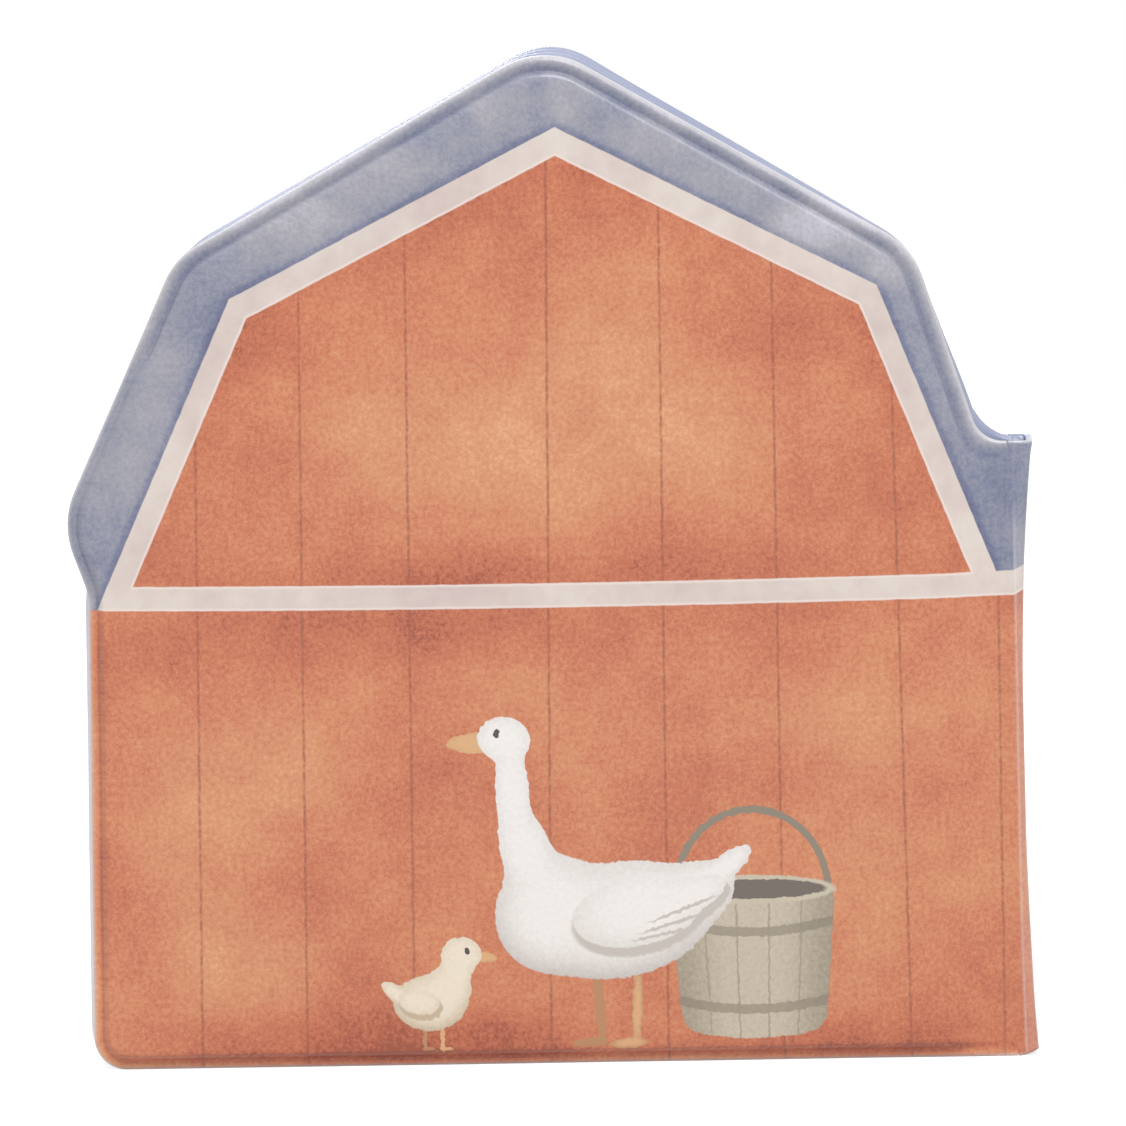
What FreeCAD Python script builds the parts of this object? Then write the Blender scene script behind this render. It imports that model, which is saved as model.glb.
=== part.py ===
import FreeCAD, Part
import math
import os

import Sketcher

# Bath book cut to the outline of a barn: four padded leaves of printed film, welded
# round their edges and held by one film that wraps round the spine.
# It stands on its bottom edge: +Z is up, +X points to the spine, the back cover faces -Y,
# and the origin is the middle of the closed book's footprint.

# Driving sizes in millimetres. Heights are above the floor, and half widths are measured
# from the barn's middle line, which stands barnAxis from the origin.
sizes = {
    "barnAxis": 0.8,
    "wallHalf": 72.0,  # the barn's wall
    "eaveFoot": 73.5,  # height where the eave leaves the wall
    "eaveReach": 3.7,  # how far the eave's corner stands out past the wall
    "eaveHeight": 84.0,  # height of the eave's corner
    "shoulderHalf": 57.0,  # where the two roof slopes meet
    "shoulderHeight": 125.0,
    "ridgeHeight": 157.6,  # the roof's top corner, before it is rounded
    "tabRootHalf": 66.5,  # where the roof runs into the hinge tab
    "tabHeight": 95.0,  # top of the hinge tab and of the spine
    "spineHalf": 72.8,  # the spine's outer face
    "baseRound": 5.0,
    "eaveFootRound": 10.0,
    "eaveRound": 13.0,
    "shoulderRound": 12.0,
    "ridgeRound": 13.0,
    "tabRootRound": 5.0,
    "filmThickness": 0.5,  # two printed films welded together
    "beadThickness": 0.9,  # the rolled edge outside the weld
    "beadWidth": 0.8,
    "beadRound": 0.18,
    "weldWidth": 2.2,  # from the cut edge to the foam
    "padThickness": 4.4,  # one leaf with its foam
    "padRound": 1.8,  # rim of the foam
    "padCorner": 2.5,  # the foam's two corners beside the spine
    "leafGap": 0.27,  # between the pads of two closed leaves
    "creaseInset": 2.3,  # from the spine's outer face to a cover's crease
    "creaseGap": 0.3,  # between a cover's film and the spine's at the crease
    "spineRound": 1.1,
    "gutterRound": 0.8,  # where the inner leaves' film turns along the spine
}

# Places that follow from the driving sizes, as formulas of the same sheet.
places = {
    "leafPitch": "=padThickness + leafGap",
    "innerLeaf": "=leafPitch / 2",  # middle planes of the leaves, from the book's middle
    "coverLeaf": "=leafPitch * 3 / 2",
    "leftWall": "=barnAxis - wallHalf",
    "eaveCorner": "=leftWall - eaveReach",
    "leftShoulder": "=barnAxis - shoulderHalf",
    "rightShoulder": "=barnAxis + shoulderHalf",
    "tabRoot": "=barnAxis + tabRootHalf",
    "spineFace": "=barnAxis + spineHalf",
    "spineInside": "=spineFace - filmThickness",
    "creaseLine": "=spineFace - creaseInset",
    "coverEdge": "=creaseLine - creaseGap / 2",  # the welded film of a leaf ends here
    "spineEdge": "=creaseLine + creaseGap / 2",
    "floor": "=0",
    "beadStand": "=(beadThickness - filmThickness) / 2",  # bead above the film beside it
    "rimRound": "=min(padRound; (padThickness - filmThickness) * 0.48)",
    "edgeRound": "=min(beadRound; (beadThickness - filmThickness) * 0.45)",
    "filmFront": "=coverLeaf + filmThickness / 2",  # outer sides of the spine's film
    "filmBack": "=-filmFront",
    "beadFront": "=coverLeaf + beadThickness / 2",  # outer sides of its rolled ends
    "beadBack": "=-beadFront",
    "beadFace": "=spineFace + beadStand",
    "spineTurn": "=min(spineRound; (creaseInset - creaseGap / 2) * 0.9)",
    "beadTurn": "=spineTurn + beadStand",
    "gutterFace": "=spineInside - beadStand",  # the pages' fold seats on the spine's beads
    "gutterFront": "=innerLeaf + filmThickness / 2",  # outer sides of the pages' fold
    "gutterBack": "=-gutterFront",
    "gutterTurn": "=min(gutterRound; (gutterFace - coverEdge) * 0.9)",
    "topBead": "=tabHeight - beadWidth",
}

# Corners of a leaf's cut edge, anticlockwise from the floor beside the wall:
# across, up, and the corner's radius, or None where it is cut square.
leafCorners = [
    ("leftWall", "floor", "baseRound"),
    ("coverEdge", "floor", None),
    ("coverEdge", "tabHeight", None),
    ("tabRoot", "tabHeight", "tabRootRound"),
    ("rightShoulder", "shoulderHeight", "shoulderRound"),
    ("barnAxis", "ridgeHeight", "ridgeRound"),
    ("leftShoulder", "shoulderHeight", "shoulderRound"),
    ("eaveCorner", "eaveHeight", "eaveRound"),
    ("leftWall", "eaveFoot", "eaveFootRound"),
]

# Paths of film that turns round an edge, seen from above: the spine's film, the rolled
# ends of the spine's film, and the fold that joins the two inner leaves.
spinePath = [
    ("spineEdge", "filmBack", None),
    ("spineFace", "filmBack", "spineTurn"),
    ("spineFace", "filmFront", "spineTurn"),
    ("spineEdge", "filmFront", None),
]
spineBeadPath = [
    ("spineEdge", "beadBack", None),
    ("beadFace", "beadBack", "beadTurn"),
    ("beadFace", "beadFront", "beadTurn"),
    ("spineEdge", "beadFront", None),
]
gutterPath = [
    ("coverEdge", "gutterBack", None),
    ("gutterFace", "gutterBack", "gutterTurn"),
    ("gutterFace", "gutterFront", "gutterTurn"),
    ("coverEdge", "gutterFront", None),
]

origin = -1  # the sketch's own origin, in a constraint
startPoint, endPoint = 1, 2
near = 1e-4


def makeSheet(doc):
    """Write every size and every place into a cell that has its name as alias."""
    sheet = doc.addObject("Spreadsheet::Sheet", "Sizes")
    row = 0
    for table in (sizes, places):
        for name, content in table.items():
            row += 1
            sheet.set("A%d" % row, name)
            sheet.set("B%d" % row, str(content))
            sheet.setAlias("B%d" % row, name)
    doc.recompute()
    return sheet


def number(sheet, name):
    return float(sheet.get(name))


def newSketch(body, name, planeRole):
    """Return a sketch that lies on one of the body's own origin planes."""
    sketch = body.newObject("Sketcher::SketchObject", name)
    plane = next(item for item in body.Origin.OriginFeatures if item.Role == planeRole)
    sketch.AttachmentSupport = [(plane, "")]
    sketch.MapMode = "FlatFace"
    return sketch


def bindConstraint(sketch, constraint, name, expression):
    index = sketch.addConstraint(constraint)
    sketch.renameConstraint(index, name)
    sketch.setExpression("Constraints." + name, expression)


def cornerArc(before, corner, after, radius):
    """Return the arc that rounds a corner, and whether the path turns left there."""
    arriving = (corner - before).normalize()
    leaving = (after - corner).normalize()
    turnsLeft = arriving.cross(leaving).z > 0
    reach = radius * math.tan(arriving.getAngle(leaving) / 2)
    side = FreeCAD.Vector(-arriving.y, arriving.x, 0) * (1 if turnsLeft else -1)
    centre = corner - arriving * reach + side * radius
    ends = [corner - arriving * reach - centre, corner + leaving * reach - centre]
    if not turnsLeft:
        ends.reverse()
    angles = [math.atan2(end.y, end.x) for end in ends]
    circle = Part.Circle(centre, FreeCAD.Vector(0, 0, 1), radius)
    return Part.ArcOfCircle(circle, angles[0], angles[1]), turnsLeft


def drawPath(sketch, sheet, corners, closed):
    """Draw straight runs between named corners, rounded where a corner has a radius.

    Each run starts as a line from corner to corner. An arc then takes a rounded corner's
    place, tangent to both of its runs, and a construction point keeps the corner itself,
    so the sheet's values hold the sharp corner wherever the arc lies.
    """
    points = [FreeCAD.Vector(number(sheet, x), number(sheet, y), 0) for x, y, _ in corners]
    count = len(points)
    runs = count if closed else count - 1
    for run in range(runs):
        sketch.addGeometry(Part.LineSegment(points[run], points[(run + 1) % count]), False)
    for index, (x, y, radius) in enumerate(corners):
        arriving = (index - 1) % count
        leaving = index
        hasBoth = closed or 0 < index < count - 1
        if radius is None:
            line, end = (leaving, startPoint) if leaving < runs else (arriving, endPoint)
            if hasBoth:
                sketch.addConstraint(
                    Sketcher.Constraint("Coincident", arriving, endPoint, leaving, startPoint)
                )
        else:
            arc, turnsLeft = cornerArc(
                points[index - 1], points[index], points[(index + 1) % count],
                number(sheet, radius),
            )
            arcIndex = sketch.addGeometry(arc, False)
            first, second = (startPoint, endPoint) if turnsLeft else (endPoint, startPoint)
            line = sketch.addGeometry(Part.Point(points[index]), True)
            end = startPoint
            for other in (arriving, leaving):
                sketch.addConstraint(Sketcher.Constraint("PointOnObject", line, startPoint, other))
            sketch.addConstraint(
                Sketcher.Constraint("Tangent", arriving, endPoint, arcIndex, first)
            )
            sketch.addConstraint(
                Sketcher.Constraint("Tangent", leaving, startPoint, arcIndex, second)
            )
            bindConstraint(
                sketch, Sketcher.Constraint("Radius", arcIndex, number(sheet, radius)),
                "round%d" % index, "Sizes." + radius,
            )
        bindConstraint(
            sketch,
            Sketcher.Constraint("DistanceX", origin, startPoint, line, end, points[index].x),
            "across%d" % index, "Sizes." + x,
        )
        bindConstraint(
            sketch,
            Sketcher.Constraint("DistanceY", origin, startPoint, line, end, points[index].y),
            "up%d" % index, "Sizes." + y,
        )


def newBody(doc, label):
    body = doc.addObject("PartDesign::Body", label)
    body.Label = label
    return body


def addPad(body, name, profile, length, bothWays=False):
    """Pad a profile by a length of the sheet, one way or half to each side of its plane."""
    pad = body.newObject("PartDesign::Pad", name)
    pad.Profile = profile
    pad.setExpression("Length", "Sizes." + length)
    if bothWays:
        pad.SideType = "Symmetric"
    body.Document.recompute()
    return pad


def addStrip(body, name, sketch, width, edges):
    """Return a flat strip along a sketch's path, as wide as the expression says.

    A minus sign lays the strip on the other side of the path.
    """
    strip = body.newObject("PartDesign::SubShapeBinder", name)
    strip.Support = [(sketch, tuple(edges))]
    strip.OffsetJoinType = "Intersection"
    strip.OffsetFill = True
    strip.OffsetOpenResult = True
    strip.setExpression("Offset", width)
    body.Document.recompute()
    return strip


def addInset(body, name, sketch, width):
    """Return the face inside a closed sketch, drawn in by the given width all round."""
    inset = body.newObject("PartDesign::SubShapeBinder", name)
    inset.Support = [(sketch, ("",))]
    inset.OffsetJoinType = "Intersection"
    inset.setExpression("Offset", "-Sizes." + width)
    body.Document.recompute()
    return inset


def addFillet(body, name, radius, wanted):
    """Round the tip's edges that the test function wants."""
    base = body.Tip
    names = [
        "Edge%d" % (index + 1) for index, edge in enumerate(base.Shape.Edges) if wanted(edge)
    ]
    fillet = body.newObject("PartDesign::Fillet", name)
    fillet.Base = (base, names)
    fillet.setExpression("Radius", "Sizes." + radius)
    body.Document.recompute()
    return fillet


def middleOf(edge):
    return edge.valueAt((edge.FirstParameter + edge.LastParameter) / 2)


def addLeaf(body, sheet, tag, shift=None):
    """Add one leaf with square edges: welded film, the bead at its cut edge, and foam.

    The leaf's middle plane is the body's XZ plane, or stands off it by the sheet's value
    that shift names, along +Y, or along -Y where shift starts with a minus sign.
    """
    outline = newSketch(body, tag + "Outline", "XZ_Plane")
    middle = 0.0
    if shift is not None:
        away = shift.startswith("-")
        place = shift.lstrip("-")
        middle = number(sheet, place) * (-1 if away else 1)
        # the plane's own normal is -Y
        outline.setExpression("AttachmentOffset.Base.z", ("" if away else "-") + "Sizes." + place)
    drawPath(outline, sheet, leafCorners, closed=True)
    body.Document.recompute()
    addPad(body, tag + "Film", outline, "filmThickness", bothWays=True)

    crease = number(sheet, "coverEdge")
    cutEdges = [
        "Edge%d" % (index + 1) for index, edge in enumerate(outline.Shape.Edges)
        if abs(middleOf(edge).x - crease) > near
    ]
    strip = addStrip(body, tag + "BeadStrip", outline, "Sizes.beadWidth", cutEdges)
    addPad(body, tag + "Bead", strip, "beadThickness", bothWays=True)
    inset = addInset(body, tag + "FoamOutline", outline, "weldWidth")
    addPad(body, tag + "Foam", inset, "padThickness", bothWays=True)
    return {"tag": tag, "outline": outline, "middle": middle}


def roundLeaf(body, sheet, leaf):
    """Round a leaf's bead, the foam's corners beside the spine, and the foam's rims."""
    tag, outline, middle = leaf["tag"], leaf["outline"], leaf["middle"]
    crease = number(sheet, "coverEdge")
    foamEnd = crease - number(sheet, "weldWidth")
    film = number(sheet, "filmThickness")
    beadSide = number(sheet, "beadThickness") / 2
    foamSide = number(sheet, "padThickness") / 2

    def liesAt(edge, side):
        return all(abs(abs(vertex.Y - middle) - side) < near for vertex in edge.Vertexes)

    def onCutEdge(edge):
        point = middleOf(edge)
        foot = Part.Vertex(point.x, middle, point.z)
        return (
            liesAt(edge, beadSide) and abs(point.x - crease) > near
            and outline.Shape.distToShape(foot)[0] < near
        )

    def besideSpine(edge):
        point = middleOf(edge)
        across = abs(edge.Vertexes[0].Y - edge.Vertexes[-1].Y)
        return (
            abs(point.x - foamEnd) < near and abs(point.y - middle) < foamSide and across > film
        )

    addFillet(body, tag + "FoamCorners", "padCorner", besideSpine)
    addFillet(body, tag + "FoamRim", "rimRound", lambda edge: liesAt(edge, foamSide))
    addFillet(body, tag + "BeadRound", "edgeRound", onCutEdge)


def makeCover(doc, sheet, label, side):
    """Make a cover round its own middle plane and place it on its side of the book."""
    cover = newBody(doc, label)
    roundLeaf(cover, sheet, addLeaf(cover, sheet, label))
    cover.setExpression("Placement.Base.y", side + "Sizes.coverLeaf")
    return cover


def makePages(doc, sheet):
    """Make the inner spread: one film fold with a padded leaf on each side."""
    pages = newBody(doc, "pages")
    fold = newSketch(pages, "gutterLine", "XY_Plane")
    drawPath(fold, sheet, gutterPath, closed=False)
    doc.recompute()
    allEdges = ["Edge%d" % (index + 1) for index in range(len(fold.Shape.Edges))]
    strip = addStrip(pages, "gutterStrip", fold, "-Sizes.filmThickness", allEdges)
    addPad(pages, "gutterFilm", strip, "tabHeight")
    leaves = [
        addLeaf(pages, sheet, "backPage", "-innerLeaf"),
        addLeaf(pages, sheet, "frontPage", "innerLeaf"),
    ]
    for leaf in leaves:
        roundLeaf(pages, sheet, leaf)
    return pages


def makeSpine(doc, sheet):
    """Make the film that wraps round the spine, with a rolled edge at each end."""
    spine = newBody(doc, "spine")
    for tag, path, width in (
        ("spineFilm", spinePath, "-Sizes.filmThickness"),
        ("spineBead", spineBeadPath, "-Sizes.beadThickness"),
    ):
        line = newSketch(spine, tag + "Line", "XY_Plane")
        drawPath(line, sheet, path, closed=False)
        doc.recompute()
        allEdges = ["Edge%d" % (index + 1) for index in range(len(line.Shape.Edges))]
        strip = addStrip(spine, tag + "Strip", line, width, allEdges)
        if tag == "spineFilm":
            addPad(spine, tag, strip, "tabHeight")
        else:
            addPad(spine, tag + "Foot", strip, "beadWidth")
            top = newSketch(spine, tag + "TopLine", "XY_Plane")
            top.setExpression("AttachmentOffset.Base.z", "Sizes.topBead")
            drawPath(top, sheet, path, closed=False)
            doc.recompute()
            strip = addStrip(spine, tag + "TopStrip", top, width, allEdges)
            addPad(spine, tag + "Head", strip, "beadWidth")
    return spine


def checkModel(doc, bodies):
    """Stop if anything in the document failed, or a piece isn't one good solid."""
    for item in doc.Objects:
        if "Invalid" in item.State or "Error" in item.State:
            raise RuntimeError("%s failed: %s" % (item.Name, item.State))
    for body in bodies:
        shape = body.Shape
        if shape.isNull() or not shape.isValid() or len(shape.Solids) != 1:
            raise RuntimeError("%s is not one valid solid" % body.Label)


def main():
    doc = FreeCAD.newDocument("bath_book")
    sheet = makeSheet(doc)
    bodies = [
        makeCover(doc, sheet, "back_cover", "-"),
        makeCover(doc, sheet, "front_cover", ""),
        makePages(doc, sheet),
        makeSpine(doc, sheet),
    ]
    doc.recompute()
    checkModel(doc, bodies)
    os.makedirs("parts", exist_ok=True)
    for body in bodies:
        box = body.Shape.optimalBoundingBox()
        print("%-12s volume %9.1f  x %.2f..%.2f  y %.2f..%.2f  z %.2f..%.2f" % (
            body.Label, body.Shape.Volume, box.XMin, box.XMax, box.YMin, box.YMax,
            box.ZMin, box.ZMax,
        ))
        body.Shape.exportStep("parts/%s.step" % body.Label)


main()
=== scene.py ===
import math

import bpy
import numpy as np
from mathutils import Matrix, Vector


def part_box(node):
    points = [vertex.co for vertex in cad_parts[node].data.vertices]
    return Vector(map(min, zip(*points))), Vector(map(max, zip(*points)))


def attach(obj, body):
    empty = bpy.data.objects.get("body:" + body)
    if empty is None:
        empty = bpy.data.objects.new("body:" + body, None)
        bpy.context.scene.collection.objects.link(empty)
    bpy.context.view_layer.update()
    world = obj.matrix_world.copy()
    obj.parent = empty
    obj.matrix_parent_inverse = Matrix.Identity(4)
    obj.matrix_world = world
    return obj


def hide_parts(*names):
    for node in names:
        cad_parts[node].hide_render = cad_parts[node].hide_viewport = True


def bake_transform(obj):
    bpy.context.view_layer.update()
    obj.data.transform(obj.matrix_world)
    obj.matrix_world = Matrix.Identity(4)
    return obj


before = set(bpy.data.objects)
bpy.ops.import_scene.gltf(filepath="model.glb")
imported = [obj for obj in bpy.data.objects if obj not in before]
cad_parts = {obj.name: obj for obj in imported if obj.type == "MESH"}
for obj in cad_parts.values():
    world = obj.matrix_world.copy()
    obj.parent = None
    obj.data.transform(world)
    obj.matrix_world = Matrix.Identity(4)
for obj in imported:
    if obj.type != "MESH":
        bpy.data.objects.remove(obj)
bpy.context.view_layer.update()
print("frame loaded")

# a padded bath book: two covers, two inner leaves and the film of its spine
mm = 0.001  # lengths below are in millimetres, and the scene is in metres

backLow, backHigh = (np.array(c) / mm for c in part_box("back_cover"))
frontLow, frontHigh = (np.array(c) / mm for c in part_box("front_cover"))
_, pagesHigh = (np.array(c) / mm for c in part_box("pages"))
spineLow, spineHigh = (np.array(c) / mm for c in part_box("spine"))
creaseX = (backHigh[0] + spineLow[0]) / 2  # the covers' crease, beside the spine
tabTop = spineHigh[2]  # top of the hinge tab and of the spine
padHalf = (backHigh[1] - backLow[1]) / 2  # half of one leaf's thickness
coverPlane = (frontLow[1] + frontHigh[1]) / 2  # middle plane of the covers, from the book's middle
pagePlane = pagesHigh[1] - padHalf


# camera and its place

camera = {
    "target": (2.385, 0.0, 76.86),  # the point at the middle of the view
    "azimuth": 3.0,
    "elevation": 5.0,
    "roll": 1.335,  # the book leans this much to the left in the view
    "distance": 1300.0,
    "frameWidth": 174.0,  # seen across at the target
    "sensor": 36.0,
    "clip": (0.05, 50.0),  # nearest and farthest, in metres
}


def makeCamera(c):
    # back points from the target to the camera; right and up are turned about it by the roll
    a, e, r = (math.radians(c[k]) for k in ("azimuth", "elevation", "roll"))
    back = Vector((math.sin(a) * math.cos(e), -math.cos(a) * math.cos(e), math.sin(e)))
    right = Vector((math.cos(a), math.sin(a), 0))
    up = back.cross(right)
    leanRight = right * math.cos(r) - up * math.sin(r)
    leanUp = right * math.sin(r) + up * math.cos(r)
    place = (Vector(c["target"]) + back * c["distance"]) * mm
    data = bpy.data.cameras.new("camera")
    data.sensor_width = c["sensor"]
    data.lens = c["sensor"] * c["distance"] / c["frameWidth"]
    data.clip_start, data.clip_end = c["clip"]
    item = bpy.data.objects.new("camera", data)
    bpy.context.collection.objects.link(item)
    item.matrix_world = Matrix((
        (leanRight.x, leanUp.x, back.x, place.x),
        (leanRight.y, leanUp.y, back.y, place.y),
        (leanRight.z, leanUp.z, back.z, place.z),
        (0, 0, 0, 1),
    ))
    bpy.context.scene.camera = item


makeCamera(camera)
print("camera placed")


# helpers for meshes

def ease(t):
    # smooth step from 0 to 1: three times the square of t less twice its cube
    t = np.clip(t, 0, 1)
    return t * t * (3 - 2 * t)


def ripple(x, z, seed, shortest, longest, count=9):
    # sum of plane waves with random direction, length and phase, about -1 to 1
    rng = np.random.default_rng(seed)
    total = np.zeros(np.shape(x))
    for heading, length, phase in zip(rng.uniform(0, math.pi, count),
                                      rng.uniform(shortest, longest, count),
                                      rng.uniform(0, 2 * math.pi, count)):
        k = 2 * math.pi / length
        total += np.sin(k * (x * math.cos(heading) + z * math.sin(heading)) + phase)
    return total / math.sqrt(count * 2)


def newPiece(name, points, faces, materials, slots=None, marks=None):
    # smooth mesh object; slots are the faces' materials, and marks are values at the points
    mesh = bpy.data.meshes.new(name)
    mesh.from_pydata((points * mm).tolist(), [], [list(f) for f in faces])
    for material in materials:
        mesh.materials.append(material)
    if slots is not None:
        mesh.polygons.foreach_set("material_index", np.asarray(slots, np.int32))
    for title, values in (marks or {}).items():
        layer = mesh.attributes.new(title, "FLOAT", "POINT")
        layer.data.foreach_set("value", np.asarray(values, np.float32))
    mesh.polygons.foreach_set("use_smooth", np.ones(len(mesh.polygons), bool))
    mesh.update()
    item = bpy.data.objects.new(name, mesh)
    bpy.context.collection.objects.link(item)
    return item


# helpers for materials

def paint(red, green, blue):
    # a colour written as it looks, from 0 to 255, made linear
    part = [c / 255 for c in (red, green, blue)]
    return tuple(c / 12.92 if c <= 0.04045 else ((c + 0.055) / 1.055) ** 2.4 for c in part) + (1.0,)


def newMaterial(name):
    material = bpy.data.materials.new(name)
    material.use_nodes = True
    material.node_tree.nodes.clear()
    return material


def node(tree, kind, inputs=None, **settings):
    # a new node, whose inputs are values or other nodes' sockets
    item = tree.nodes.new("ShaderNode" + kind)
    for key, value in settings.items():
        setattr(item, key, value)
    for key, value in (inputs or {}).items():
        if isinstance(value, bpy.types.NodeSocket):
            tree.links.new(value, item.inputs[key])
        else:
            item.inputs[key].default_value = value
    return item


def calc(tree, operation, a, b=0.0, c=0.0):
    return node(tree, "Math", {0: a, 1: b, 2: c}, operation=operation).outputs[0]


def gapTo(tree, value, middle):
    # how far the value is from the middle, without a sign
    return calc(tree, "ABSOLUTE", calc(tree, "SUBTRACT", value, middle))


def dot(tree, place, weights):
    return node(tree, "VectorMath", {0: place, 1: weights}, operation="DOT_PRODUCT").outputs["Value"]


def mix(tree, factor, a, b):
    return node(tree, "Mix", {0: factor, 6: a, 7: b}, data_type="RGBA").outputs[2]


def mark(tree, name):
    # what the mesh carries at its points under this name
    return node(tree, "Attribute", attribute_name=name).outputs["Fac"]


def span(tree, value, low, high, toLow=0.0, toHigh=1.0):
    # smooth step from toLow, where the value is low, to toHigh, where it is high
    return node(tree, "MapRange", {0: value, 1: low, 2: high, 3: toLow, 4: toHigh},
                interpolation_type="SMOOTHSTEP").outputs[0]


def noise(tree, place, size, detail=1.0, roughness=0.5, stretch=None):
    # flat cloudy pattern about zero, from -0.5 to 0.5, whose blots are about size millimetres
    if stretch is not None:
        place = node(tree, "VectorMath", {0: place, 1: stretch}, operation="MULTIPLY").outputs[0]
    cloud = node(tree, "TexNoise", {"Vector": place, "Scale": 1 / size, "Detail": detail,
                                    "Roughness": roughness}, noise_dimensions="2D").outputs[0]
    return calc(tree, "SUBTRACT", cloud, 0.5)


def ramp(tree, value, stops):
    # colour that runs through the stops as the value goes from 0 to 1
    item = node(tree, "ValToRGB", {0: value})
    marks = item.color_ramp.elements
    marks[0].position, marks[0].color = stops[0]
    marks[1].position, marks[1].color = stops[-1]
    for position, colour in stops[1:-1]:
        marks.new(position).color = colour
    return item.outputs[0]


def printPlace(tree):
    # object coordinates in millimetres as across and up, the place (across, up, 1) for the
    # print, and a place for noise in which the depth is folded into the across direction
    place = node(tree, "VectorMath", {0: node(tree, "TexCoord").outputs["Object"], "Scale": 1 / mm},
                 operation="SCALE").outputs[0]
    across, depth, up = node(tree, "SeparateXYZ", {0: place}).outputs
    flat = node(tree, "CombineXYZ", {0: across, 1: up, 2: 1.0}).outputs[0]
    folded = node(tree, "CombineXYZ", {0: calc(tree, "ADD", across, depth), 1: up}).outputs[0]
    return across, up, flat, folded


film = {
    "roughness": (0.285, 0.40),  # smoothest and roughest
    "cloudReach": 0.16,  # the blots' value where it is so, below and above zero
    "specular": 0.5,
    "coat": 0.15,
    "coatRoughness": 0.24,
    "grainDepth": 0.035,
    "grainSize": 0.8,
    "grainStrength": 0.4,
    "highlight": paint(236, 234, 234),  # painted highlight along the film's cut edge and on the spine's turn
    "highlightSpan": (0.05, 0.7, 0.5, 0.0),  # a span's low and high, and its values there
}


def finishFilm(tree, folded, cloud, colour):
    # soft glossy film: the clouds vary its roughness, and a fine bump gives it grain
    rough = span(tree, cloud, -film["cloudReach"], film["cloudReach"], *film["roughness"])
    grain = noise(tree, folded, film["grainSize"])
    bump = node(tree, "Bump", {"Strength": film["grainStrength"],
                               "Distance": film["grainDepth"] * mm, "Height": grain})
    shader = node(tree, "BsdfPrincipled", {
        "Base Color": colour, "Roughness": rough, "Normal": bump.outputs[0],
        "Specular IOR Level": film["specular"], "Coat Weight": film["coat"],
        "Coat Roughness": film["coatRoughness"]})
    node(tree, "OutputMaterial", {0: shader.outputs[0]})


# the barn that is printed on the covers, in millimetres

barn = {
    "apex": (3.1, 144.5),  # outer corners of the roof trim
    "leftKnee": (-47.5, 119.2),
    "rightKnee": (51.8, 119.4),
    "leftFoot": (-69.4, 71.0),
    "rightFoot": (69.2, 75.0),
    "slopeTrim": 3.9,
    "legTrim": 3.65,
    "bandLow": 70.82,
    "bandHigh": 74.6,
    "bandSag": 0.00012,  # the band hangs a little at its middle
    "bandMiddle": 8.0,
    "bandTurn": 0.5,  # and climbs where the film turns to the spine
    "turnFrom": 71.8,
    "planks": (  # place at the foot, and lean
        (-54.67, 0.0144), (-38.39, 0.0131), (-21.74, 0.0110), (-0.68, 0.0163),
        (17.42, 0.0095), (35.30, 0.0039), (54.92, -0.0110), (69.20, 0.0038)),
    "plankSpan": (0.04, 0.36, 1.0, 0.0),  # ink from a line's middle outwards
    "plankWander": 0.25,
    "dashSize": 0.85,  # the lines are broken into dashes, longer than wide
    "dashStretch": (0.25, 1, 1),
    "dashSpan": (-0.12, 0.1, 0.36, 0.7),
    "wobbleSize": 2.4,  # edges of the fields wander in waves of about this size
    "wander": 0.15,  # and by this
    "wallSpan": (0.0, 6.0, 0.36, 0.45),  # the wall's tone from the trim inwards
    "haloSpan": (0.2, 1.5, 0.2, 0.46),  # the roof's tone from the trim outwards
    "glowSpan": (0.5, 4.0, 0.0, 0.06),  # and what it gains farther out
    "rimAt": 0.2,  # the trim's drawn rim, from its edge
    "rimSpan": (0.04, 0.3, 0.8, 0.0),
    "wallGrain": 0.75,
    "roofGrain": 0.5,
    "trimGrain": 0.25,
    "trimBlots": 3.6,
}
wallStops = (  # tone and colour
    (0.0, paint(160, 79, 54)), (0.2, paint(191, 107, 77)), (0.4, paint(205, 123, 88)),
    (0.6, paint(214, 142, 103)), (0.8, paint(221, 156, 115)), (1.0, paint(233, 175, 134)))
roofStops = (
    (0.0, paint(96, 101, 131)), (0.25, paint(120, 125, 151)), (0.5, paint(149, 151, 166)),
    (0.75, paint(170, 168, 177)), (1.0, paint(193, 191, 202)))
trimColours = (paint(213, 195, 190), paint(228, 217, 208))
trimEdge = paint(240, 224, 216)
plankInk = paint(152, 84, 62)

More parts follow.
